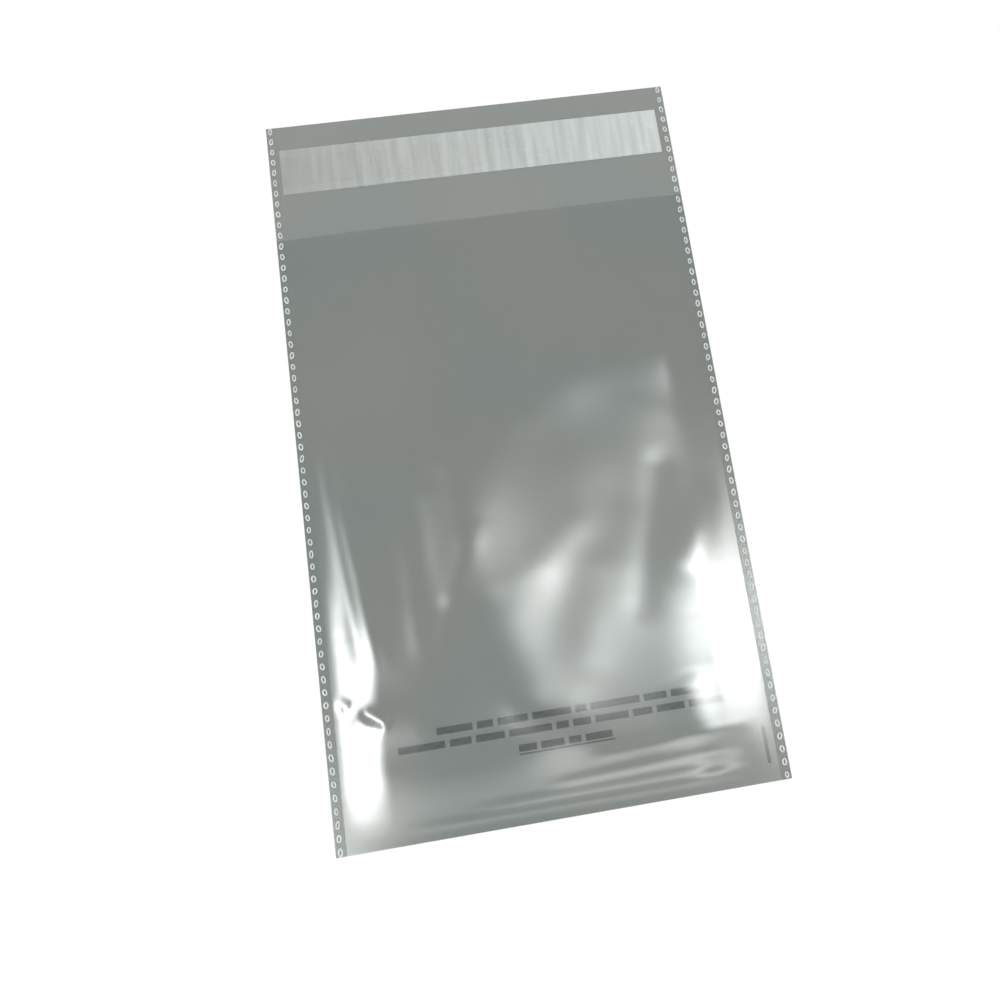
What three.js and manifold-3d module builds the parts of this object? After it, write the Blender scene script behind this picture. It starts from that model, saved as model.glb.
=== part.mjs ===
// A flat self-seal bag of clear film, lying on its back with the flap open.
// One strip of film is folded once and welded along both sides, so the pocket and the flap are one piece.
// The flap carries a strip of adhesive under a release liner.
// X runs across the bag, Y from the bottom fold towards the flap and Z up, in millimetres.
// The origin is under the middle of the bag.
import * as THREE from "three";
import { mergeGeometries, mergeVertices } from "three/addons/utils/BufferGeometryUtils.js";
import Module from "manifold-3d";

// Film
const BAG_WIDTH = 127;
const BODY_LENGTH = 178;
const FLAP_LENGTH = 38;
const FILM_THICKNESS = 0.04;

// Side welds: a row of beads left by the toothed sealing bar
const WELD_WIDTH = 3;
const BEAD_PITCH = 3.5;
const BEAD_INSET = 1.3;
const BEAD_WIDTH = 1.4;
const BEAD_LENGTH = 2.2;
const BEAD_HEIGHT = 0.25;
const BEAD_DIMPLE = 0.12;
const BEAD_CROWN = 0.6;
const BEAD_SIDES = 6;

// Closing strip on the flap
const LINER_WIDTH = 15;
const LINER_THICKNESS = 0.05;
const LINER_SETBACK = 8;
const ADHESIVE_WIDTH = 10;
const ADHESIVE_THICKNESS = 0.03;
const STRIP_CLEARANCE = 0.5;

// Slack of the front panel: how far it stands off the back panel
const FOLD_SEAM = 0.5;
const PUFF_HEIGHT = 0.8;
const MOUTH_GAP = 0.6;
const SIDE_RISE = 13.5;
const FOLD_RISE = 19.5;
const GRID_STEP = 4;

// Waves of the slack film, each from one end to the other. A crest below zero is a hollow.
// Ends are shares of the pocket: across from -1 to 1 between the welds, up from 0 at the fold to 1 at
// the mouth. Spread and crest are multiples of the two sizes here.
const WAVE_WIDTH = 10;
const WAVE_HEIGHT = 1;
const WAVES = [
  { from: [-0.31, 0.19], to: [-0.97, 0.35], spread: 1.11, crest: 0.4 },
  { from: [0.6, 0.11], to: [0.66, 0.3], spread: 0.82, crest: 0.22 },
  { from: [-0.07, 0.64], to: [-0.48, 0.34], spread: 1.17, crest: 0.71 },
  { from: [-0.24, 0.6], to: [-0.13, 0.38], spread: 1.4, crest: 1.16 },
  { from: [0.22, 0.44], to: [0.05, 0.39], spread: 0.6, crest: 0.16 },
  { from: [0.44, 0.47], to: [0.25, 0.36], spread: 1.21, crest: -0.39 },
  { from: [0.29, 0.36], to: [0.18, 0.23], spread: 0.78, crest: 0.26 },
  { from: [0.83, 0.74], to: [0.31, 0.71], spread: 1.4, crest: 1.3 },
  { from: [-0.89, 0.19], to: [-0.63, 0.18], spread: 0.63, crest: 0.37 },
  { from: [-0.14, 0.17], to: [-0.12, 0.17], spread: 0.59, crest: 0.34 },
  { from: [0.01, 0.16], to: [-0.21, 0.28], spread: 1.13, crest: 0.93 },
  { from: [0.68, 0.52], to: [0.49, 0.3], spread: 0.48, crest: -0.23 },
  { from: [0.73, 0.36], to: [0.94, 0.44], spread: 0.75, crest: 0.72 },
  { from: [-0.44, 0.52], to: [-0.42, 0.37], spread: 0.57, crest: 0.27 },
  { from: [-0.3, 0.56], to: [-0.28, 0.36], spread: 0.62, crest: 0.41 },
  { from: [0.88, 0.78], to: [0.7, 0.63], spread: 1.16, crest: 0.55 },
];

const FILM_LOOK = { color: 0xb9bfba, roughness: 0.12, metalness: 0, transparent: true, opacity: 0.45 };
const LINER_LOOK = { color: 0xd9dfda, roughness: 0.25, metalness: 0, transparent: true, opacity: 0.6 };
const ADHESIVE_LOOK = { color: 0xcfd1c8, roughness: 0.5, metalness: 0, transparent: true, opacity: 0.5 };

// Places that follow from the sizes
const overallLength = BODY_LENGTH + FLAP_LENGTH;
const foldY = -overallLength / 2;
const mouthY = foldY + BODY_LENGTH;
const flapEdgeY = overallLength / 2;
const pocketHalfWidth = BAG_WIDTH / 2 - WELD_WIDTH;
const linerCentreY = flapEdgeY - LINER_SETBACK - LINER_WIDTH / 2;
const stripLength = 2 * (pocketHalfWidth - STRIP_CLEARANCE);

const wasm = await Module();
wasm.setup();

// Turns a closed geometry into a solid that can be joined to others.
function toSolid(geometry) {
  const bare = new THREE.BufferGeometry();
  bare.setAttribute("position", geometry.getAttribute("position"));
  bare.setIndex(geometry.index);
  const merged = mergeVertices(bare);
  const vertProperties = merged.getAttribute("position").array;
  const triVerts = new Uint32Array(merged.index.array);
  return new wasm.Manifold(new wasm.Mesh({ numProp: 3, vertProperties, triVerts }));
}

// Turns a solid back into a geometry.
function toGeometry(solid) {
  const mesh = solid.getMesh();
  const geometry = new THREE.BufferGeometry();
  geometry.setAttribute("position", new THREE.BufferAttribute(mesh.vertProperties, 3));
  geometry.setIndex(new THREE.BufferAttribute(mesh.triVerts, 1));
  geometry.computeVertexNormals();
  return geometry;
}

// Rises smoothly from 0 to 1 over a distance.
function rise(distance, over) {
  return THREE.MathUtils.smoothstep(distance, 0, over);
}

// The place on the bag of a point given as shares of the pocket.
function pocketPoint([across, up]) {
  return new THREE.Vector3(across * pocketHalfWidth, foldY + up * BODY_LENGTH, 0);
}

// Each wave as a line on the bag.
const waveLines = WAVES.map((wave) => ({
  line: new THREE.Line3(pocketPoint(wave.from), pocketPoint(wave.to)),
  width: wave.spread * WAVE_WIDTH,
  crest: wave.crest * WAVE_HEIGHT,
}));

// How far the front panel stands off the back panel at a point between the welds.
function lift(x, y) {
  const point = new THREE.Vector3(x, y, 0);
  const nearest = new THREE.Vector3();
  const up = (y - foldY) / BODY_LENGTH;
  let height = THREE.MathUtils.lerp(PUFF_HEIGHT, MOUTH_GAP, rise(up, 1));
  for (const { line, width, crest } of waveLines) {
    const away = line.closestPointToPoint(point, true, nearest).distanceTo(point) / width;
    height += crest * Math.exp(-away * away);
  }
  const fromWeld = pocketHalfWidth - Math.abs(x);
  const fromFold = y - foldY - FOLD_SEAM;
  return height * rise(fromWeld, SIDE_RISE) * rise(fromFold, FOLD_RISE);
}

// The back panel and the flap: one flat length of film.
function backPanel() {
  const panel = new THREE.BoxGeometry(BAG_WIDTH, overallLength, FILM_THICKNESS);
  return panel.translate(0, 0, FILM_THICKNESS / 2);
}

// A sheet of film over a grid, given the heights of its two faces at each point.
// Both faces are split along the same diagonals, so that they never cross however thin the film is.
function filmSheet(columnEdges, rowEdges, topAt, undersideAt) {
  const across = columnEdges.length - 1;
  const along = rowEdges.length - 1;
  const grid = new THREE.PlaneGeometry(across, along, across, along);
  const cells = grid.getAttribute("position");
  const count = cells.count;
  const points = new Float32Array(6 * count);
  for (let i = 0; i < count; i++) {
    const x = columnEdges[Math.round(cells.getX(i) + across / 2)];
    const y = rowEdges[Math.round(cells.getY(i) + along / 2)];
    points.set([x, y, topAt(x, y)], 3 * i);
    points.set([x, y, undersideAt(x, y)], 3 * (count + i));
  }

  const triangles = Array.from(grid.index.array);
  for (let i = 0; i < grid.index.count; i += 3) {
    const [a, b, c] = grid.index.array.slice(i, i + 3);
    triangles.push(count + a, count + c, count + b);
  }
  const corner = (column, row) => column + row * (across + 1);
  const rim = [];
  for (let i = 0; i < across; i++) rim.push([corner(i, along), corner(i + 1, along)]);
  for (let i = along; i > 0; i--) rim.push([corner(across, i), corner(across, i - 1)]);
  for (let i = across; i > 0; i--) rim.push([corner(i, 0), corner(i - 1, 0)]);
  for (let i = 0; i < along; i++) rim.push([corner(0, i), corner(0, i + 1)]);
  for (const [p, q] of rim) triangles.push(count + p, count + q, q, count + p, q, p);

  const sheet = new THREE.BufferGeometry();
  sheet.setAttribute("position", new THREE.BufferAttribute(points, 3));
  return sheet.setIndex(triangles);
}

// Places that divide a stretch into equal steps of about the grid's size.
function evenSteps(from, to) {
  const steps = Math.round((to - from) / GRID_STEP);
  return Array.from({ length: steps + 1 }, (_, i) => from + ((to - from) * i) / steps);
}

// The front panel: film that follows the slack, melted into the back panel at the welds and the fold.
function frontPanel() {
  const columnEdges = [-BAG_WIDTH / 2, ...evenSteps(-pocketHalfWidth, pocketHalfWidth), BAG_WIDTH / 2];
  const rowEdges = [foldY, ...evenSteps(foldY + FOLD_SEAM, mouthY)];
  const topAt = (x, y) => 2 * FILM_THICKNESS + lift(x, y);
  const undersideAt = (x, y) => (lift(x, y) > 0 ? FILM_THICKNESS + lift(x, y) : FILM_THICKNESS / 2);
  return filmSheet(columnEdges, rowEdges, topAt, undersideAt);
}

// One oval bead with a dimpled crown, standing in the middle of film of the given thickness.
// It is drawn one unit wide and then stretched.
function bead(x, y, thickness) {
  const root = thickness / 2;
  const crest = thickness + BEAD_HEIGHT;
  const profile = [
    new THREE.Vector2(0, root),
    new THREE.Vector2(0.5, root),
    new THREE.Vector2(BEAD_CROWN / 2, crest),
    new THREE.Vector2(0, crest - BEAD_DIMPLE),
  ];
  const dome = new THREE.LatheGeometry(profile, BEAD_SIDES);
  dome.rotateX(Math.PI / 2);
  dome.scale(BEAD_WIDTH, BEAD_LENGTH, 1);
  return dome.translate(x, y, 0);
}

// Both rows of beads, from the bottom fold to the flap's free edge.
function weldBeads() {
  const count = Math.floor((overallLength - BEAD_LENGTH) / BEAD_PITCH) + 1;
  const firstY = -((count - 1) * BEAD_PITCH) / 2;
  const rowX = BAG_WIDTH / 2 - BEAD_INSET;
  const beads = [];
  for (let i = 0; i < count; i++) {
    const y = firstY + i * BEAD_PITCH;
    const layers = y + BEAD_LENGTH / 2 < mouthY ? 2 : 1;
    beads.push(bead(-rowX, y, layers * FILM_THICKNESS), bead(rowX, y, layers * FILM_THICKNESS));
  }
  return mergeGeometries(beads);
}

// A flat strip that lies across the flap between the welds.
function flapStrip(width, thickness, underside) {
  const strip = new THREE.BoxGeometry(stripLength, width, thickness);
  return strip.translate(0, linerCentreY, underside + thickness / 2);
}

function named(name, geometry, look) {
  const mesh = new THREE.Mesh(geometry, new THREE.MeshStandardMaterial(look));
  mesh.name = name;
  return mesh;
}

const film = toSolid(backPanel()).add(toSolid(frontPanel())).add(toSolid(weldBeads()));
const adhesive = flapStrip(ADHESIVE_WIDTH, ADHESIVE_THICKNESS, FILM_THICKNESS);
const liner = flapStrip(LINER_WIDTH, LINER_THICKNESS, FILM_THICKNESS + ADHESIVE_THICKNESS);

const bag = new THREE.Group();
bag.add(
  named("film_bag", toGeometry(film), FILM_LOOK),
  named("adhesive_strip", adhesive, ADHESIVE_LOOK),
  named("release_liner", liner, LINER_LOOK),
);

export default bag;
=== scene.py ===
import math

import bmesh
import bpy
import numpy as np
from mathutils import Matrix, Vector


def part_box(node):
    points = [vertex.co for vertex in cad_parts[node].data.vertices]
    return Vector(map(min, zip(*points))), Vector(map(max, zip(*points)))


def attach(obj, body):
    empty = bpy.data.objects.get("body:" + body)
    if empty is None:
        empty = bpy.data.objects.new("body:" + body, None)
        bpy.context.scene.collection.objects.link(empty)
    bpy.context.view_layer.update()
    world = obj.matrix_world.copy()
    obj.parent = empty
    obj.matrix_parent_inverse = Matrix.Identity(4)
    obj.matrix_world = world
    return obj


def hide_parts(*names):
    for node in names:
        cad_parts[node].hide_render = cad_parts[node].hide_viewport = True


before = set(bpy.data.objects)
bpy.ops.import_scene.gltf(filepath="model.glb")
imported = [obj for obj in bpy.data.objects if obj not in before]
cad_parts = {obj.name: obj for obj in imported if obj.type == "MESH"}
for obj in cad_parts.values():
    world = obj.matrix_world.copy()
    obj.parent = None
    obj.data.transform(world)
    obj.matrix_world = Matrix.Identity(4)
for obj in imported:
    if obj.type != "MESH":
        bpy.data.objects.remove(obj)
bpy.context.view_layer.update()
FILM_LOW, FILM_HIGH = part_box("film_bag")
LINER_LOW, LINER_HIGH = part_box("release_liner")

bl_info = {
    "name": "Self-seal plastic bag",
    "version": (1, 0, 0),
    "blender": (4, 5, 0),
    "location": "View3D > Sidebar > Bag",
    "description": "Makes a clear film bag with beaded side welds and a peel-off strip on its flap",
    "category": "Object",
}

MM = 0.001

# Waves of the slack film, each from one end to the other, with its width and height in millimetres.
# Ends are shares of the pocket, across from -1 to 1 between the welds
# and along from 0 at the fold to 1 at the mouth.
WAVES = (
    ((-0.31, 0.19), (-0.97, 0.35), 11.1, 0.40),
    ((0.60, 0.11), (0.66, 0.30), 8.2, 0.22),
    ((-0.07, 0.64), (-0.48, 0.34), 11.7, 0.71),
    ((-0.24, 0.60), (-0.13, 0.38), 14.0, 1.16),
    ((0.22, 0.44), (0.05, 0.39), 6.0, 0.16),
    ((0.44, 0.47), (0.25, 0.36), 12.1, -0.39),
    ((0.29, 0.36), (0.18, 0.23), 7.8, 0.26),
    ((0.83, 0.74), (0.31, 0.71), 14.0, 1.30),
    ((-0.89, 0.19), (-0.63, 0.18), 6.3, 0.37),
    ((-0.14, 0.17), (-0.12, 0.17), 5.9, 0.34),
    ((0.01, 0.16), (-0.21, 0.28), 11.3, 0.93),
    ((0.68, 0.52), (0.49, 0.30), 4.8, -0.23),
    ((0.73, 0.36), (0.94, 0.44), 7.5, 0.72),
    ((-0.44, 0.52), (-0.42, 0.37), 5.7, 0.27),
    ((-0.30, 0.56), (-0.28, 0.36), 6.2, 0.41),
    ((0.88, 0.78), (0.70, 0.63), 11.6, 0.55),
)

# Fine creases of the film, each from one end to the other, with its width and height, all in millimetres
CREASES = (
    ((-60.0, -68.0), (-55.6, -70.2), 1.6, 0.20),
    ((-53.4, -71.4), (-45.0, -75.8), 1.7, 0.24),
    ((-54.0, -73.5), (-47.0, -77.5), 2.0, -0.12),
    ((-57.5, 10.0), (-51.5, -62.0), 1.6, 0.07),
    ((-53.5, -8.0), (-46.5, -64.0), 1.3, 0.06),
    ((-49.5, -28.0), (-43.5, -63.0), 1.2, 0.045),
    ((-35.5, -16.0), (-34.0, -64.0), 3.4, 0.15),
    ((-14.0, -22.0), (-30.5, -62.0), 3.6, 0.19),
    ((38.0, -74.0), (43.0, -104.0), 5.5, 0.35),
    ((-50.0, -104.4), (57.0, -104.8), 1.1, 0.055),
    ((-30.0, -101.8), (58.0, -101.4), 1.1, 0.05),
    ((-8.0, -99.0), (54.0, -96.8), 1.3, 0.06),
    ((6.0, -93.6), (57.0, -91.0), 1.5, 0.06),
)

# How far from the welds and the fold a crease reaches its full height
# and how slowly it fades towards its own ends
CREASE_RISE = 4.0 * MM
CREASE_FADE = 0.17

# Rows of printed bars: the row's place along the bag, where it starts and each bar's length, in millimetres
PRINT_ROWS = (
    (-80.0, -33.0, (10.0, 4.5, 8.5, 11.0, 3.0, 14.0, 6.5, 9.0)),
    (-83.6, -44.0, (13.0, 6.0, 8.0, 12.0, 3.5, 5.0, 9.5, 5.5, 8.0, 10.0)),
    (-88.0, -11.0, (5.0, 6.5, 3.5, 7.5)),
)

# Single bars, the line under the last row and the register mark: place across and along, length and height
PLAIN_BARS = (
    (2.5, -89.6, 27.0, 0.35),
    (58.0, -98.0, 1.0, 10.0),
)

# Ripples of the liner: each one's length in millimetres, where it starts and how far it slants
LINER_RIPPLES = (
    (2.1, 0.3, 0.05),
    (3.4, 1.7, -0.08),
    (5.7, 4.1, 0.12),
    (9.3, 2.2, -0.05),
)

# How much of what is behind it the liner hides at its left end and at its right end. This is a painted
# highlight: the pale liner hides more towards its right end, so it looks lighter there.
LINER_PAINTED_GLOW = (0.24, 0.70)

# Finishes of the film, in the order of its materials
FRONT = 0
BACK = 1
WELD = 2
FLAP = 3
INSIDE = 4

# How strongly the film reflects in each finish, as an index of refraction
FRONT_INDEX = 3.6
BACK_INDEX = 1.41
WELD_INDEX = 1.9
FLAP_INDEX = 1.45

# Steps of the film's grid, points of the liner's, and the angle from which an edge is sharp
COLUMN_STEP = 0.9 * MM
ROW_STEP = 0.85 * MM
FLAP_STEP = 2.5 * MM
WELD_COLUMNS = 3
FLAT_BLOCK = 16
LINER_COLUMNS = 321
LINER_ROWS = 13
SHARP_ANGLE = math.radians(40)

# Points around a bead's oval and around its rim, and how much the beads vary:
# smallest and largest size, turn either way in radians, and the seeds of both draws
BEAD_POINTS = 14
RIM_POINTS = 6
BEAD_SMALLEST = (0.86, 0.84, 0.8)
BEAD_LARGEST = (1.1, 1.08, 1.15)
BEAD_TURN = 0.25
SIZE_SEED = 4
TURN_SEED = 9

# Soft lights of the studio: lean off the zenith, bearing, spread up and down and spread sideways, all in
# degrees, and brightness
SOFT_LIGHTS = (
    (23.7, 103.7, 12.9, 6.4, 15.1),
    (23.3, -114.6, 5.1, 12.7, 17.6),
    (25.0, 175.0, 4.5, 30.0, 3.4),
)

# The sky's colour, and its glow near the horizon and overhead, each as a height and a brightness.
# It ends a little below the horizon.
SKY_COLOUR = (0.965, 1.0, 0.995, 1)
HORIZON_HEIGHT = 0.1
HORIZON_GLOW = 0.9
CEILING_HEIGHT = 0.6
CEILING_GLOW = 0.3
HORIZON_DIP = 0.06

# Half the floor's side, in metres, and how far it lies below the bag
FLOOR_HALF = 8.0
FLOOR_DROP = 0.05 * MM

# The camera's place in millimetres, its turn in degrees and its lens
CAMERA_PLACE = (-4.8, -44.1, 234.4)
CAMERA_TURN = (10.27, -2.77, -8.61)
CAMERA_LENS = 28.8
CAMERA_SENSOR = 36
CAMERA_SHIFT = (-0.0582, -0.0584)


class FilmSizes(bpy.types.PropertyGroup):
    width: bpy.props.FloatProperty(
        name="Width",
        description="Width of the bag across both welds",
        default=FILM_HIGH.x - FILM_LOW.x,
        unit="LENGTH",
    )
    length: bpy.props.FloatProperty(
        name="Length",
        description="Length of the bag from the bottom fold to the flap's free edge",
        default=FILM_HIGH.y - FILM_LOW.y,
        unit="LENGTH",
    )
    flap_length: bpy.props.FloatProperty(
        name="Flap length",
        description="How far the back panel runs on past the mouth",
        default=38 * MM,
        unit="LENGTH",
    )
    thickness: bpy.props.FloatProperty(
        name="Film thickness",
        description="Thickness of one layer of film",
        default=0.04 * MM,
        precision=6,
        unit="LENGTH",
    )
    weld_width: bpy.props.FloatProperty(
        name="Weld width",
        description="Width of the strip that is fused along each side",
        default=3 * MM,
        unit="LENGTH",
    )
    fold_seam: bpy.props.FloatProperty(
        name="Fold seam",
        description="How far the two layers lie together at the bottom fold",
        default=0.5 * MM,
        unit="LENGTH",
    )
    puff: bpy.props.FloatProperty(
        name="Puff",
        description="How far the front panel stands off the back panel near the fold",
        default=0.8 * MM,
        unit="LENGTH",
    )
    mouth_gap: bpy.props.FloatProperty(
        name="Mouth gap",
        description="How far the front panel stands off the back panel at the mouth",
        default=0.6 * MM,
        unit="LENGTH",
    )
    side_rise: bpy.props.FloatProperty(
        name="Side rise",
        description="Distance over which the front panel rises from a weld",
        default=13.5 * MM,
        unit="LENGTH",
    )
    fold_rise: bpy.props.FloatProperty(
        name="Fold rise",
        description="Distance over which the front panel rises from the fold",
        default=19.5 * MM,
        unit="LENGTH",
    )


class BeadSizes(bpy.types.PropertyGroup):
    pitch: bpy.props.FloatProperty(
        name="Bead pitch",
        description="Distance from one weld bead to the next",
        default=3.5 * MM,
        unit="LENGTH",
    )
    inset: bpy.props.FloatProperty(
        name="Bead inset",
        description="Distance of the beads from the bag's edge",
        default=1.3 * MM,
        unit="LENGTH",
    )
    width: bpy.props.FloatProperty(
        name="Bead width",
        description="Width of a bead across the weld",
        default=1.4 * MM,
        unit="LENGTH",
    )
    length: bpy.props.FloatProperty(
        name="Bead length",
        description="Length of a bead along the weld",
        default=2.2 * MM,
        unit="LENGTH",
    )
    height: bpy.props.FloatProperty(
        name="Bead height",
        description="How far a bead stands above its root in the film",
        default=0.27 * MM,
        precision=6,
        unit="LENGTH",
    )
    rim: bpy.props.FloatProperty(
        name="Rim",
        description="Thickness of the ring that a bead forms",
        default=0.45 * MM,
        precision=6,
        unit="LENGTH",
    )


class StripSizes(bpy.types.PropertyGroup):
    liner_thickness: bpy.props.FloatProperty(
        name="Liner thickness",
        description="Thickness of the peel-off liner",
        default=LINER_HIGH.z - LINER_LOW.z,
        precision=6,
        unit="LENGTH",
    )
    ripple: bpy.props.FloatProperty(
        name="Ripple",
        description="Height of the fine ripples across the liner",
        default=0.1 * MM,
        precision=6,
        unit="LENGTH",
    )


class PrintSizes(bpy.types.PropertyGroup):
    bar_height: bpy.props.FloatProperty(
        name="Bar height",
        description="Height of the printed bars",
        default=1.9 * MM,
        unit="LENGTH",
    )
    bar_gap: bpy.props.FloatProperty(
        name="Bar gap",
        description="Space between one printed bar and the next",
        default=1.3 * MM,
        unit="LENGTH",
    )
    ink_thickness: bpy.props.FloatProperty(
        name="Ink thickness",
        description="Thickness of the ink on the film",
        default=0.006 * MM,
        precision=6,
        unit="LENGTH",
    )


class BagColours(bpy.types.PropertyGroup):
    film: bpy.props.FloatVectorProperty(
        name="Film",
        description="Tint of the clear film",
        default=(0.145, 0.180, 0.162),
        size=3,
        min=0,
        max=1,
        subtype="COLOR",
    )
    film_warm: bpy.props.FloatVectorProperty(
        name="Warm film",
        description="Warmer tint that clouds the film in places",
        default=(0.178, 0.190, 0.162),
        size=3,
        min=0,
        max=1,
        subtype="COLOR",
    )
    front_cover: bpy.props.FloatProperty(
        name="Front cover",
        description="How much of what is behind it the front panel hides",
        default=0.24,
        min=0,
        max=1,
        subtype="FACTOR",
    )
    back_cover: bpy.props.FloatProperty(
        name="Back cover",
        description="How much of what is behind it the back panel hides",
        default=0.59,
        min=0,
        max=1,
        subtype="FACTOR",
    )
    weld_cover: bpy.props.FloatProperty(
        name="Weld cover",
        description="How much of what is behind it the upper face of the fused welds hides",
        default=0.22,
        min=0,
        max=1,
        subtype="FACTOR",
    )
    flap_cover: bpy.props.FloatProperty(
        name="Flap cover",
        description="How much of what is behind it each face of the flap hides",
        default=0.36,
        min=0,
        max=1,
        subtype="FACTOR",
    )
    bead: bpy.props.FloatVectorProperty(
        name="Beads",
        description="Colour of the melted beads",
        default=(0.90, 0.92, 0.91),
        size=3,
        min=0,
        max=1,
        subtype="COLOR",
    )
    liner: bpy.props.FloatVectorProperty(
        name="Liner",
        description="Colour of the peel-off liner",
        default=(0.80, 0.82, 0.80),
        size=3,
        min=0,
        max=1,
        subtype="COLOR",
    )
    adhesive: bpy.props.FloatVectorProperty(
        name="Adhesive",
        description="Colour of the adhesive",
        default=(0.62, 0.62, 0.55),
        size=3,
        min=0,
        max=1,
        subtype="COLOR",
    )
    ink: bpy.props.FloatVectorProperty(
        name="Ink",
        description="Colour of the printed bars",
        default=(0.012, 0.012, 0.014),
        size=3,
        min=0,
        max=1,
        subtype="COLOR",
    )
    floor: bpy.props.FloatVectorProperty(
        name="Floor",
        description="Colour of the floor",
        default=(0.92, 0.89, 0.89),
        size=3,
        min=0,
        max=1,
        subtype="COLOR",
    )


# Trees of nodes

def add_node(tree, kind, inputs=None, **settings):
    """A new node, with its settings and inputs given as values or as sockets to link."""
    node = tree.nodes.new(kind)
    for name, value in settings.items():
        setattr(node, name, value)
    for key, value in (inputs or {}).items():
        if isinstance(value, bpy.types.NodeSocket):
            tree.links.new(value, node.inputs[key])
        else:
            node.inputs[key].default_value = value
    return node


def new_material(name):
    """A material with an empty tree, its output node and the object's coordinates."""
    material = bpy.data.materials.new(name)
    material.use_nodes = True
    tree = material.node_tree
    tree.nodes.clear()
    output = add_node(tree, "ShaderNodeOutputMaterial")
    place = add_node(tree, "ShaderNodeTexCoord").outputs["Object"]
    return material, tree, output, place


def noise(tree, place, scale, detail=2.0, stretch=None):
    """The value of a noise over the object, stretched by a mapping where one is given."""
    if stretch:
        place = add_node(tree, "ShaderNodeMapping", {"Vector": place, "Scale": stretch}).outputs[0]
    inputs = {"Vector": place, "Scale": scale, "Detail": detail}
    return add_node(tree, "ShaderNodeTexNoise", inputs).outputs["Fac"]


def spread(tree, value, low, high):
    """A noise's middle range, stretched to run from low to high."""
    inputs = {"Value": value, "From Min": 0.3, "From Max": 0.7, "To Min": low, "To Max": high}
    return add_node(tree, "ShaderNodeMapRange", inputs).outputs["Result"]


def two_tone(tree, value, first, second):
    """A colour that runs from the first to the second with a value from 0 to 1."""
    mix = add_node(tree, "ShaderNodeMix", data_type="RGBA")
    tree.links.new(value, mix.inputs[0])
    mix.inputs[6].default_value = (*first, 1)
    mix.inputs[7].default_value = (*second, 1)
    return mix.outputs[2]


def bump(tree, height, strength, distance, under=None):
    """Bumps from a height, laid over those of another bump where one is given."""
    inputs = {"Height": height, "Strength": strength, "Distance": distance}
    if under:
        inputs["Normal"] = under
    return add_node(tree, "ShaderNodeBump", inputs).outputs[0]


def dimmed(colour, share):
    """A colour at a share of its brightness."""
    return tuple(share * part for part in colour)


def film_tint(tree, place, colours):
    """The film's tint, with warmer clouds."""
    cloud = spread(tree, noise(tree, place, 22, 0), 0, 1)
    return two_tone(tree, cloud, colours.film, colours.film_warm)


def film_material(name, colours, cover, index):
    """Clear film: a faint clouded tint, and streaks across the bag in its gloss and its relief."""
    material, tree, output, place = new_material(name)
    streaks = noise(tree, place, 60, 1, stretch=(0.12, 9, 1))
    shader = add_node(tree, "ShaderNodeBsdfPrincipled", {
        "Base Color": film_tint(tree, place, colours),
        "Roughness": spread(tree, streaks, 0.05, 0.10),
        "IOR": index,
        "Alpha": cover,
        "Normal": bump(tree, streaks, 0.05, 0.05 * MM),
    })
    tree.links.new(shader.outputs[0], output.inputs["Surface"])
    return material


def inner_material(colours):
    """The pocket's inner faces: fully clear, because a sheet of film shows its finish on its outer face."""
    material, tree, output, place = new_material("inner_film")
    shader = add_node(tree, "ShaderNodeBsdfPrincipled", {
        "Base Color": film_tint(tree, place, colours),
        "Roughness": 0.08,
        "Alpha": 0.0,
    })
    tree.links.new(shader.outputs[0], output.inputs["Surface"])
    return material


def bead_material(colours):
    """Melted film: whitish, cloudy and glossy."""
    material, tree, output, place = new_material("melted_film")
    cloud = spread(tree, noise(tree, place, 500), 0, 1)
    shader = add_node(tree, "ShaderNodeBsdfPrincipled", {
        "Base Color": two_tone(tree, cloud, dimmed(colours.bead, 0.8), colours.bead),
        "Roughness": spread(tree, noise(tree, place, 900), 0.08, 0.2),
        "IOR": 1.7,
        "Alpha": 0.8,
        "Normal": bump(tree, noise(tree, place, 1500), 0.2, 0.05 * MM),
    })
    tree.links.new(shader.outputs[0], output.inputs["Surface"])
    return material


def liner_material(colours):
    """Release film: milky, with soft streaks that run along the bag and a painted highlight that makes it
    hide more towards one end.
    """
    material, tree, output, place = new_material("release_film")
    streaks = noise(tree, place, 60, 2, stretch=(8, 0.6, 1))
    milk = spread(tree, streaks, 0, 1)
    # Painted highlight: the liner hides more of the darker film towards its right end, so it looks lighter
    # there
    across = add_node(tree, "ShaderNodeSeparateXYZ", {0: place}).outputs["X"]
    left, right = LINER_PAINTED_GLOW
    ends = {"From Min": LINER_LOW.x, "From Max": LINER_HIGH.x, "To Min": left, "To Max": right}
    painted_glow = add_node(tree, "ShaderNodeMapRange", {"Value": across, **ends}).outputs["Result"]
    shader = add_node(tree, "ShaderNodeBsdfPrincipled", {
        "Base Color": two_tone(tree, milk, dimmed(colours.liner, 0.8), colours.liner),
        "Roughness": spread(tree, noise(tree, place, 200), 0.16, 0.3),
        "IOR": 1.8,
        "Alpha": painted_glow,
        "Normal": bump(tree, streaks, 0.12, 0.1 * MM),
    })
    tree.links.new(shader.outputs[0], output.inputs["Surface"])
    return material


def adhesive_material(colours):
    """Adhesive: hazy and uneven."""
    material, tree, output, place = new_material("adhesive")
    patches = spread(tree, noise(tree, place, 180, 4), 0, 1)
    shader = add_node(tree, "ShaderNodeBsdfPrincipled", {
        "Base Color": two_tone(tree, patches, dimmed(colours.adhesive, 0.85), colours.adhesive),
        "Roughness": spread(tree, noise(tree, place, 700), 0.4, 0.65),
        "Alpha": 0.25,
        "Normal": bump(tree, noise(tree, place, 900), 0.3, 0.05 * MM),
    })
    tree.links.new(shader.outputs[0], output.inputs["Surface"])
    return material


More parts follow.
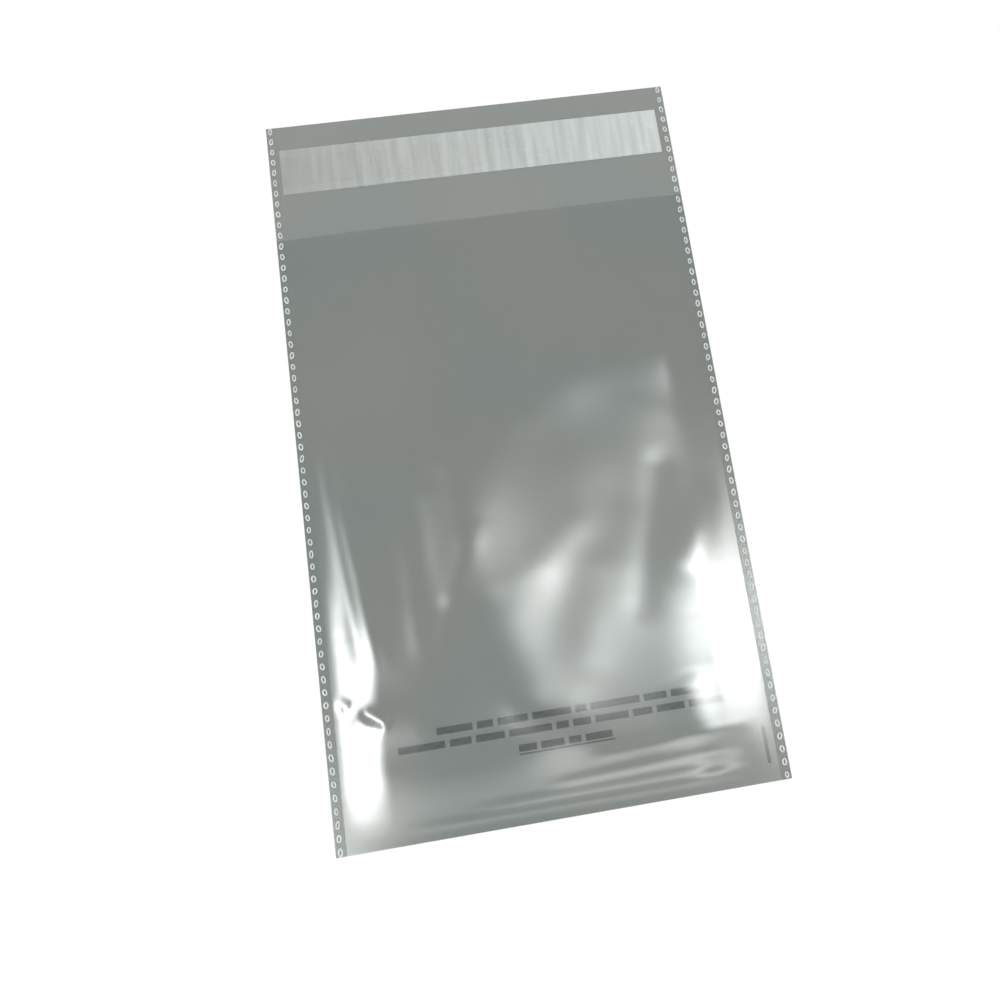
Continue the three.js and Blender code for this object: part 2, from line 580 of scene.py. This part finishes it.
def ink_material(colours):
    """Printing ink: nearly black, a little thin in places."""
    material, tree, output, place = new_material("printing_ink")
    thin = spread(tree, noise(tree, place, 900, 3), 0, 1)
    worn = tuple(4 * part for part in colours.ink)
    shader = add_node(tree, "ShaderNodeBsdfPrincipled", {
        "Base Color": two_tone(tree, thin, colours.ink, worn),
        "Roughness": spread(tree, noise(tree, place, 1200), 0.4, 0.6),
        "Normal": bump(tree, noise(tree, place, 2000), 0.2, 0.02 * MM),
    })
    tree.links.new(shader.outputs[0], output.inputs["Surface"])
    return material


def floor_material(colours):
    """A pale studio floor with a faint mottle."""
    material, tree, output, place = new_material("pale_floor")
    mottle = spread(tree, noise(tree, place, 8), 0, 1)
    shader = add_node(tree, "ShaderNodeBsdfPrincipled", {
        "Base Color": two_tone(tree, mottle, dimmed(colours.floor, 0.985), colours.floor),
        "Roughness": spread(tree, noise(tree, place, 40), 0.6, 0.7),
        "Specular IOR Level": 0.2,
    })
    tree.links.new(shader.outputs[0], output.inputs["Surface"])
    return material


# Shapes

def smooth_rise(distance, over):
    """Rises smoothly from 0 to 1 over a distance."""
    share = np.clip(distance / over, 0, 1)
    return share * share * (3 - 2 * share)


def pocket_half(film):
    """Half the width of the pocket between the welds."""
    return film.width / 2 - film.weld_width


def fold_place(film):
    """Where the bottom fold is along the bag."""
    return -film.length / 2


def mouth_place(film):
    """Where the mouth is along the bag."""
    return film.length / 2 - film.flap_length


def wave(x, y, start, end, width, crest):
    """The height at points of a wave that runs from its start to its end, and how far along it they are."""
    along = (end[0] - start[0], end[1] - start[1])
    share = ((x - start[0]) * along[0] + (y - start[1]) * along[1]) / (along[0] ** 2 + along[1] ** 2)
    share = np.clip(share, 0, 1)
    away = np.hypot(x - start[0] - share * along[0], y - start[1] - share * along[1]) / width
    return crest * np.exp(-away * away), share


def lift(film, x, y):
    """How far the front panel stands off the back panel at points of the pocket."""
    half = pocket_half(film)
    fold = fold_place(film)
    body = mouth_place(film) - fold
    height = film.puff + (film.mouth_gap - film.puff) * smooth_rise((y - fold) / body, 1)
    for start, end, width, crest in WAVES:
        start = (start[0] * half, fold + start[1] * body)
        end = (end[0] * half, fold + end[1] * body)
        height = height + wave(x, y, start, end, width * MM, crest * MM)[0]
    fine = np.zeros_like(x)
    for start, end, width, crest in CREASES:
        start = (start[0] * MM, start[1] * MM)
        end = (end[0] * MM, end[1] * MM)
        crease, share = wave(x, y, start, end, width * MM, crest * MM)
        fine = fine + crease * smooth_rise(share * (1 - share), CREASE_FADE)
    from_weld = half - np.abs(x)
    from_fold = y - fold - film.fold_seam
    height = height * smooth_rise(from_weld, film.side_rise) * smooth_rise(from_fold, film.fold_rise)
    return height + fine * smooth_rise(from_weld, CREASE_RISE) * smooth_rise(from_fold, CREASE_RISE)


class MeshGrid:
    """Collects points and faces of a mesh that is made from layers over one grid."""

    def __init__(self, columns, rows):
        self.x, self.y = np.meshgrid(columns, rows)
        self.points = []
        self.count = 0
        self.faces = []
        self.finishes = []

    def layer(self, heights, row_range, column_range):
        """Adds a layer of points over part of the grid and returns their numbers, -1 elsewhere."""
        ids = np.full(self.x.shape, -1)
        part = (slice(*row_range), slice(*column_range))
        shape = ids[part].shape
        ids[part] = self.count + np.arange(shape[0] * shape[1]).reshape(shape)
        self.points.append(np.stack([self.x[part], self.y[part], heights[part]], -1).reshape(-1, 3))
        self.count += shape[0] * shape[1]
        return ids

    def add_faces(self, faces, finish):
        """Adds faces in one finish."""
        self.faces += faces
        self.finishes += [finish] * len(faces)

    def cells(self, ids, row_range, column_range, finish=0):
        """Adds the faces of a layer over a range of its cells."""
        rows = slice(*row_range)
        columns = slice(*column_range)
        next_rows = slice(row_range[0] + 1, row_range[1] + 1)
        next_columns = slice(column_range[0] + 1, column_range[1] + 1)
        corners = (ids[rows, columns], ids[rows, next_columns])
        corners += (ids[next_rows, next_columns], ids[next_rows, columns])
        self.add_faces(np.stack(corners, -1).reshape(-1, 4).tolist(), finish)

    def coarse(self, ids, row_range, column_range, finish=0):
        """Adds a flat part of a layer in large faces that keep every point of its rim."""
        rows = [*range(*row_range, FLAT_BLOCK), row_range[1]]
        columns = [*range(*column_range, FLAT_BLOCK), column_range[1]]
        for low, high in zip(rows, rows[1:]):
            for left, right in zip(columns, columns[1:]):
                across = np.arange(left, right + 1)
                along = np.arange(low, high + 1)
                south = ids[low, across if low == row_range[0] else [left, right]]
                north = ids[high, across if high == row_range[1] else [left, right]]
                east = ids[along if right == column_range[1] else [low, high], right]
                west = ids[along if left == column_range[0] else [low, high], left]
                rim = [*south[:-1], *east[:-1], *north[:0:-1], *west[:0:-1]]
                self.add_faces([[int(corner) for corner in rim]], finish)

    def wall(self, upper, lower, finish=0):
        """Adds the faces between two lines of points."""
        corners = (upper[:-1], upper[1:], lower[1:], lower[:-1])
        self.add_faces(np.stack(corners, -1).tolist(), finish)


def finish_mesh(name, grid):
    """A smooth closed mesh whose faces point outwards, with sharp rims."""
    mesh = bpy.data.meshes.new(name)
    mesh.from_pydata([tuple(point) for point in np.concatenate(grid.points)], [], grid.faces)
    mesh.polygons.foreach_set("material_index", grid.finishes)
    build = bmesh.new()
    build.from_mesh(mesh)
    bmesh.ops.delete(build, geom=[v for v in build.verts if not v.link_faces], context="VERTS")
    bmesh.ops.recalc_face_normals(build, faces=build.faces)
    if any(not edge.is_manifold for edge in build.edges):
        raise RuntimeError(f"{name} isn't closed")
    if build.calc_volume(signed=True) < 0:
        bmesh.ops.reverse_faces(build, faces=build.faces)
    build.to_mesh(mesh)
    build.free()
    mesh.shade_smooth()
    mesh.set_sharp_from_angle(angle=SHARP_ANGLE)
    return mesh


def place_piece(name, mesh, materials, nodes=()):
    """Puts a finished mesh in the scene as a piece of the bag."""
    piece = bpy.data.objects.new(name, mesh)
    bpy.context.scene.collection.objects.link(piece)
    finishes = [polygon.material_index for polygon in mesh.polygons]
    mesh.materials.clear()
    for material in materials:
        mesh.materials.append(material)
    mesh.polygons.foreach_set("material_index", finishes)
    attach(piece, "root")
    if nodes:
        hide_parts(*nodes)
    return piece


def film_mesh(film):
    """The film as one closed mesh: bottom face, front panel, the pocket's two inner faces and the flap."""
    half = film.width / 2
    inner = pocket_half(film)
    fold = fold_place(film)
    mouth = mouth_place(film)
    seam = fold + film.fold_seam
    pocket_columns = round(2 * inner / COLUMN_STEP)
    pocket_rows = round((mouth - seam) / ROW_STEP)
    flap_rows = round(film.flap_length / FLAP_STEP)
    columns = np.concatenate([
        np.linspace(-half, -inner, WELD_COLUMNS, endpoint=False),
        np.linspace(-inner, inner, pocket_columns + 1),
        np.linspace(inner, half, WELD_COLUMNS + 1)[1:],
    ])
    rows = np.concatenate([
        [fold],
        np.linspace(seam, mouth, pocket_rows + 1),
        np.linspace(mouth, film.length / 2, flap_rows + 1)[1:],
    ])
    grid = MeshGrid(columns, rows)
    first = WELD_COLUMNS
    last = WELD_COLUMNS + pocket_columns
    end_column = len(columns) - 1
    mouth_row = 1 + pocket_rows
    end_row = len(rows) - 1
    flat = np.zeros_like(grid.x)
    slack = lift(film, grid.x, grid.y)

    bottom = grid.layer(flat, (0, end_row + 1), (0, end_column + 1))
    top = grid.layer(2 * film.thickness + slack, (0, mouth_row + 1), (0, end_column + 1))
    upper = grid.layer(film.thickness + flat, (1, end_row + 1), (0, end_column + 1))
    ceiling = grid.layer(film.thickness + slack, (1, mouth_row + 1), (first, last + 1))
    ceiling[1, first:last + 1] = upper[1, first:last + 1]
    for side in (first, last):
        ceiling[1:mouth_row + 1, side] = upper[1:mouth_row + 1, side]

    grid.coarse(bottom, (0, mouth_row), (0, end_column), BACK)
    grid.coarse(bottom, (mouth_row, end_row), (0, end_column), FLAP)
    for weld in ((0, first), (last, end_column)):
        grid.cells(top, (0, mouth_row), weld, WELD)
    grid.cells(top, (0, mouth_row), (first, last), FRONT)
    grid.cells(ceiling, (1, mouth_row), (first, last), INSIDE)
    grid.coarse(upper, (1, mouth_row), (first, last), INSIDE)
    grid.coarse(upper, (mouth_row, end_row), (0, end_column), FLAP)
    grid.wall(top[0], bottom[0], WELD)
    grid.wall(upper[end_row], bottom[end_row], FLAP)
    for side in (0, end_column):
        grid.wall(top[:mouth_row, side], bottom[:mouth_row, side], WELD)
        near_mouth = (top[mouth_row - 1, side], top[mouth_row, side], upper[mouth_row, side])
        near_mouth += (bottom[mouth_row, side], bottom[mouth_row - 1, side])
        grid.add_faces([[int(corner) for corner in near_mouth]], WELD)
        grid.wall(upper[mouth_row:, side], bottom[mouth_row:, side], FLAP)
    lip = upper[mouth_row].copy()
    lip[first:last + 1] = ceiling[mouth_row, first:last + 1]
    grid.wall(top[mouth_row], lip, FRONT)
    return finish_mesh("bag_film", grid)


def liner_mesh(strip):
    """The liner as a thin closed strip with fine ripples across it."""
    columns = np.linspace(LINER_LOW.x, LINER_HIGH.x, LINER_COLUMNS)
    rows = np.linspace(LINER_LOW.y, LINER_HIGH.y, LINER_ROWS)
    grid = MeshGrid(columns, rows)
    ripple = np.zeros_like(grid.x)
    for length, phase, slant in LINER_RIPPLES:
        turn = 2 * math.pi * (grid.x + slant * grid.y) / (length * MM) + phase
        ripple += (1 + np.sin(turn)) / (2 * len(LINER_RIPPLES))
    height = LINER_LOW.z + strip.ripple * ripple
    everywhere = ((0, len(rows)), (0, len(columns)))
    cells = ((0, len(rows) - 1), (0, len(columns) - 1))
    under = grid.layer(height, *everywhere)
    over = grid.layer(height + strip.liner_thickness, *everywhere)
    grid.cells(under, *cells)
    grid.cells(over, *cells)
    for line in (np.s_[0, :], np.s_[-1, :], np.s_[:, 0], np.s_[:, -1]):
        grid.wall(over[line], under[line])
    return finish_mesh("liner", grid)


# Geometry nodes

def new_tree(name, inputs):
    """An empty tree of geometry nodes with named inputs, its input and output nodes and its sockets."""
    tree = bpy.data.node_groups.new(name, "GeometryNodeTree")
    tree.interface.new_socket(name="Geometry", in_out="INPUT", socket_type="NodeSocketGeometry")
    tree.interface.new_socket(name="Geometry", in_out="OUTPUT", socket_type="NodeSocketGeometry")
    sockets = {}
    for label, kind in inputs.items():
        sockets[label] = tree.interface.new_socket(name=label, in_out="INPUT", socket_type=kind)
    entry = add_node(tree, "NodeGroupInput").outputs
    leave = add_node(tree, "NodeGroupOutput")
    return tree, sockets, entry, leave


def math_node(tree, operation, first, second=0.0, third=0.0):
    """The result of a sum on two or three values."""
    node = add_node(tree, "ShaderNodeMath", {0: first, 1: second, 2: third}, operation=operation)
    return node.outputs[0]


def close_tree(tree, leave, geometry, material):
    """Ends a tree with plain geometry in one material."""
    real = add_node(tree, "GeometryNodeRealizeInstances", {"Geometry": geometry}).outputs[0]
    inputs = {"Geometry": real, "Material": material}
    painted = add_node(tree, "GeometryNodeSetMaterial", inputs).outputs[0]
    tree.links.new(painted, leave.inputs[0])


def grow_mesh(name, start_mesh, tree, sockets, values):
    """The plain mesh that a tree of geometry nodes makes from a starting mesh."""
    holder = bpy.data.objects.new(name, start_mesh)
    bpy.context.scene.collection.objects.link(holder)
    modifier = holder.modifiers.new(name, "NODES")
    modifier.node_group = tree
    for label, value in values.items():
        modifier[sockets[label].identifier] = value
    graph = bpy.context.evaluated_depsgraph_get()
    mesh = bpy.data.meshes.new_from_object(holder.evaluated_get(graph), depsgraph=graph)
    bpy.data.objects.remove(holder)
    mesh.name = name
    if not mesh.polygons:
        raise RuntimeError(f"the nodes made no faces for {name}")
    return mesh


def bead_shape(tree, entry):
    """One bead: an oval ring of melted film, flat enough to lie in the weld."""
    circle = {"Resolution": BEAD_POINTS, "Radius": 0.5}
    path = add_node(tree, "GeometryNodeCurvePrimitiveCircle", circle).outputs["Curve"]
    place = add_node(tree, "GeometryNodeInputPosition").outputs[0]
    half_axes = [math_node(tree, "SUBTRACT", entry[side], entry["Rim"]) for side in ("Width", "Length")]
    size = add_node(tree, "ShaderNodeCombineXYZ", {0: half_axes[0], 1: half_axes[1]}).outputs[0]
    oval = add_node(tree, "ShaderNodeVectorMath", {0: place, 1: size}, operation="MULTIPLY").outputs[0]
    path = add_node(tree, "GeometryNodeSetPosition", {"Geometry": path, "Position": oval}).outputs[0]
    circle = {"Resolution": RIM_POINTS, "Radius": math_node(tree, "MULTIPLY", entry["Rim"], 0.5)}
    profile = add_node(tree, "GeometryNodeCurvePrimitiveCircle", circle).outputs["Curve"]
    ring = add_node(tree, "GeometryNodeCurveToMesh", {"Curve": path, "Profile Curve": profile}).outputs[0]
    axes = add_node(tree, "ShaderNodeSeparateXYZ", {0: place}).outputs
    share = math_node(tree, "ADD", math_node(tree, "DIVIDE", axes[2], entry["Rim"]), 0.5)
    z = math_node(tree, "SUBTRACT", math_node(tree, "MULTIPLY", share, entry["Height"]), entry["Root"])
    pressed = add_node(tree, "ShaderNodeCombineXYZ", {0: axes[0], 1: axes[1], 2: z}).outputs[0]
    ring = add_node(tree, "GeometryNodeSetPosition", {"Geometry": ring, "Position": pressed}).outputs[0]
    return add_node(tree, "GeometryNodeSetShadeSmooth", {"Geometry": ring}).outputs[0]


def bead_tree(material):
    """Beads on every point of the starting mesh, each a little different."""
    number = "NodeSocketFloat"
    labels = ("Width", "Length", "Height", "Rim", "Root")
    tree, sockets, entry, leave = new_tree("weld_beads", {label: number for label in labels})
    size = {"Min": BEAD_SMALLEST, "Max": BEAD_LARGEST, "Seed": SIZE_SEED}
    scale = add_node(tree, "FunctionNodeRandomValue", size, data_type="FLOAT_VECTOR").outputs[0]
    swing = {"Min": (0, 0, -BEAD_TURN), "Max": (0, 0, BEAD_TURN), "Seed": TURN_SEED}
    turn = add_node(tree, "FunctionNodeRandomValue", swing, data_type="FLOAT_VECTOR").outputs[0]
    inputs = {
        "Points": entry["Geometry"],
        "Instance": bead_shape(tree, entry),
        "Rotation": turn,
        "Scale": scale,
    }
    beads = add_node(tree, "GeometryNodeInstanceOnPoints", inputs).outputs[0]
    close_tree(tree, leave, beads, material)
    return tree, sockets


def bar_tree(material):
    """A thin bar on every point of the starting mesh, sized by the point's own numbers."""
    tree, sockets, entry, leave = new_tree("printed_bars", {"Ink": "NodeSocketFloat"})
    bar = add_node(tree, "GeometryNodeMeshCube", {"Size": (1, 1, 1)}).outputs["Mesh"]
    sides = []
    for label in ("bar_length", "bar_height"):
        node = add_node(tree, "GeometryNodeInputNamedAttribute", {"Name": label}, data_type="FLOAT")
        sides.append(node.outputs["Attribute"])
    scale = add_node(tree, "ShaderNodeCombineXYZ", {0: sides[0], 1: sides[1], 2: entry["Ink"]}).outputs[0]
    inputs = {"Points": entry["Geometry"], "Instance": bar, "Scale": scale}
    bars = add_node(tree, "GeometryNodeInstanceOnPoints", inputs).outputs[0]
    close_tree(tree, leave, bars, material)
    return tree, sockets


class BAG_OT_make_film(bpy.types.Operator):
    """Makes the film: one folded strip, fused along both sides and open at the mouth"""

    bl_idname = "bag.make_film"
    bl_label = "Film"

    def execute(self, context):
        film = context.scene.bag_film
        colours = context.scene.bag_colours
        materials = [
            film_material("front_film", colours, colours.front_cover, FRONT_INDEX),
            film_material("back_film", colours, colours.back_cover, BACK_INDEX),
            film_material("weld_film", colours, colours.weld_cover, WELD_INDEX),
            film_material("flap_film", colours, colours.flap_cover, FLAP_INDEX),
            inner_material(colours),
        ]
        piece = place_piece("bag_film", film_mesh(film), materials, ["film_bag"])
        return {"FINISHED"}


class BAG_OT_make_beads(bpy.types.Operator):
    """Makes the rows of melted beads along both side welds"""

    bl_idname = "bag.make_beads"
    bl_label = "Weld beads"

    def execute(self, context):
        film = context.scene.bag_film
        bead = context.scene.bag_beads
        material = bead_material(context.scene.bag_colours)
        count = int((film.length - bead.length) / bead.pitch) + 1
        points = []
        for i in range(count):
            y = (i - (count - 1) / 2) * bead.pitch
            layers = 2 if y + bead.length / 2 < mouth_place(film) else 1
            for side in (-1, 1):
                points.append((side * (film.width / 2 - bead.inset), y, layers * film.thickness))
        start = bpy.data.meshes.new("bead_places")
        start.from_pydata(points, [], [])
        tree, sockets = bead_tree(material)
        values = {
            "Width": bead.width,
            "Length": bead.length,
            "Height": bead.height,
            "Rim": bead.rim,
            "Root": film.thickness / 2,
        }
        mesh = grow_mesh("weld_beads", start, tree, sockets, values)
        place_piece("weld_beads", mesh, [material], ["film_bag"])
        return {"FINISHED"}


class BAG_OT_dress_adhesive(bpy.types.Operator):
    """Gives the adhesive strip its finish"""

    bl_idname = "bag.dress_adhesive"
    bl_label = "Adhesive"

    def execute(self, context):
        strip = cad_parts["adhesive_strip"]
        strip.data.materials.clear()
        strip.data.materials.append(adhesive_material(context.scene.bag_colours))
        return {"FINISHED"}


class BAG_OT_make_liner(bpy.types.Operator):
    """Makes the rippled release liner over the adhesive"""

    bl_idname = "bag.make_liner"
    bl_label = "Release liner"

    def execute(self, context):
        material = liner_material(context.scene.bag_colours)
        mesh = liner_mesh(context.scene.bag_strip)
        piece = place_piece("liner", mesh, [material], ["release_liner"])
        return {"FINISHED"}


class BAG_OT_make_print(bpy.types.Operator):
    """Makes the rows of plain printed bars and the register mark"""

    bl_idname = "bag.make_print"
    bl_label = "Print"

    def execute(self, context):
        film = context.scene.bag_film
        sizes = context.scene.bag_print
        material = ink_material(context.scene.bag_colours)
        bars = []
        for y, x, lengths in PRINT_ROWS:
            for length in lengths:
                bars.append(((x + length / 2) * MM, y * MM, length * MM, sizes.bar_height))
                x += length + sizes.bar_gap / MM
        bars.extend(tuple(part * MM for part in bar) for bar in PLAIN_BARS)
        start = bpy.data.meshes.new("bar_places")
        start.from_pydata([(x, y, film.thickness) for x, y, length, height in bars], [], [])
        for label, column in (("bar_length", 2), ("bar_height", 3)):
            values = start.attributes.new(label, "FLOAT", "POINT")
            values.data.foreach_set("value", [bar[column] for bar in bars])
        tree, sockets = bar_tree(material)
        mesh = grow_mesh("print", start, tree, sockets, {"Ink": sizes.ink_thickness})
        place_piece("print", mesh, [material])
        return {"FINISHED"}


def soft_light(tree, way, glow, lean, bearing, wide, long, bright):
    """A glow in each direction with a soft light added, which fades away from its middle."""
    lean = math.radians(lean)
    bearing = math.radians(bearing)
    out = math.sin(lean)
    middle = Vector((out * math.sin(bearing), out * math.cos(bearing), math.cos(lean)))
    side = Vector((math.cos(bearing), -math.sin(bearing), 0))
    square = 0.0
    for axis, width in ((side, long), (middle.cross(side), wide)):
        inputs = {0: way, 1: axis / math.sin(math.radians(width))}
        off = add_node(tree, "ShaderNodeVectorMath", inputs, operation="DOT_PRODUCT").outputs["Value"]
        square = math_node(tree, "MULTIPLY_ADD", off, off, square)
    fade = math_node(tree, "POWER", math.exp(-1), square)
    return math_node(tree, "MULTIPLY_ADD", fade, bright, glow)


def studio_world():
    """A studio with a dim ceiling, a pale horizon and a few soft lights."""
    world = bpy.data.worlds.new("studio")
    world.use_nodes = True
    tree = world.node_tree
    way = add_node(tree, "ShaderNodeTexCoord").outputs["Generated"]
    height = add_node(tree, "ShaderNodeSeparateXYZ", {0: way}).outputs["Z"]
    inputs = {
        "Value": height,
        "From Min": HORIZON_HEIGHT,
        "From Max": CEILING_HEIGHT,
        "To Min": HORIZON_GLOW,
        "To Max": CEILING_GLOW,
    }
    glow = add_node(tree, "ShaderNodeMapRange", inputs, interpolation_type="SMOOTHSTEP").outputs[0]
    for light in SOFT_LIGHTS:
        glow = soft_light(tree, way, glow, *light)
    glow = math_node(tree, "MULTIPLY", glow, math_node(tree, "GREATER_THAN", height, -HORIZON_DIP))
    sky = tree.nodes["Background"]
    sky.inputs["Color"].default_value = SKY_COLOUR
    tree.links.new(glow, sky.inputs["Strength"])
    return world


class BAG_OT_set_stage(bpy.types.Operator):
    """Sets the pale floor, the soft lights and the camera"""

    bl_idname = "bag.set_stage"
    bl_label = "Stage"

    def execute(self, context):
        scene = context.scene
        build = bmesh.new()
        bmesh.ops.create_grid(build, x_segments=8, y_segments=8, size=FLOOR_HALF)
        bmesh.ops.translate(build, verts=build.verts, vec=(0, 0, -FLOOR_DROP))
        mesh = bpy.data.meshes.new("floor")
        build.to_mesh(mesh)
        build.free()
        mesh.materials.append(floor_material(scene.bag_colours))
        floor = bpy.data.objects.new("floor", mesh)
        scene.collection.objects.link(floor)

        scene.world = studio_world()
        scene.view_settings.view_transform = "Standard"
        scene.cycles.max_bounces = 3
        scene.cycles.diffuse_bounces = 2
        scene.cycles.glossy_bounces = 2
        scene.cycles.caustics_reflective = False

        lens = bpy.data.cameras.new("camera")
        lens.sensor_width = CAMERA_SENSOR
        lens.lens = CAMERA_LENS
        lens.shift_x, lens.shift_y = CAMERA_SHIFT
        lens.clip_start = 0.01
        camera = bpy.data.objects.new("camera", lens)
        scene.collection.objects.link(camera)
        camera.location = [part * MM for part in CAMERA_PLACE]
        camera.rotation_euler = [math.radians(angle) for angle in CAMERA_TURN]
        scene.camera = camera
        return {"FINISHED"}


class BAG_PT_maker(bpy.types.Panel):
    """Lists the steps that make the bag"""

    bl_idname = "BAG_PT_maker"
    bl_label = "Self-seal bag"
    bl_space_type = "VIEW_3D"
    bl_region_type = "UI"
    bl_category = "Bag"

    def draw(self, context):
        for step in STEPS:
            self.layout.operator(step.bl_idname)


GROUPS = {
    "bag_film": FilmSizes,
    "bag_beads": BeadSizes,
    "bag_strip": StripSizes,
    "bag_print": PrintSizes,
    "bag_colours": BagColours,
}
STEPS = (
    BAG_OT_make_film,
    BAG_OT_make_beads,
    BAG_OT_dress_adhesive,
    BAG_OT_make_liner,
    BAG_OT_make_print,
    BAG_OT_set_stage,
)


def register():
    for group in GROUPS.values():
        bpy.utils.register_class(group)
    for name, group in GROUPS.items():
        setattr(bpy.types.Scene, name, bpy.props.PointerProperty(type=group))
    for step in STEPS:
        bpy.utils.register_class(step)
    bpy.utils.register_class(BAG_PT_maker)


def unregister():
    bpy.utils.unregister_class(BAG_PT_maker)
    for step in reversed(STEPS):
        bpy.utils.unregister_class(step)
    for name in GROUPS:
        delattr(bpy.types.Scene, name)
    for group in reversed(GROUPS.values()):
        bpy.utils.unregister_class(group)


def main():
    register()
    bpy.ops.bag.make_film()
    bpy.ops.bag.make_beads()
    bpy.ops.bag.dress_adhesive()
    bpy.ops.bag.make_liner()
    bpy.ops.bag.make_print()
    bpy.ops.bag.set_stage()


if __name__ == "__main__":
    main()
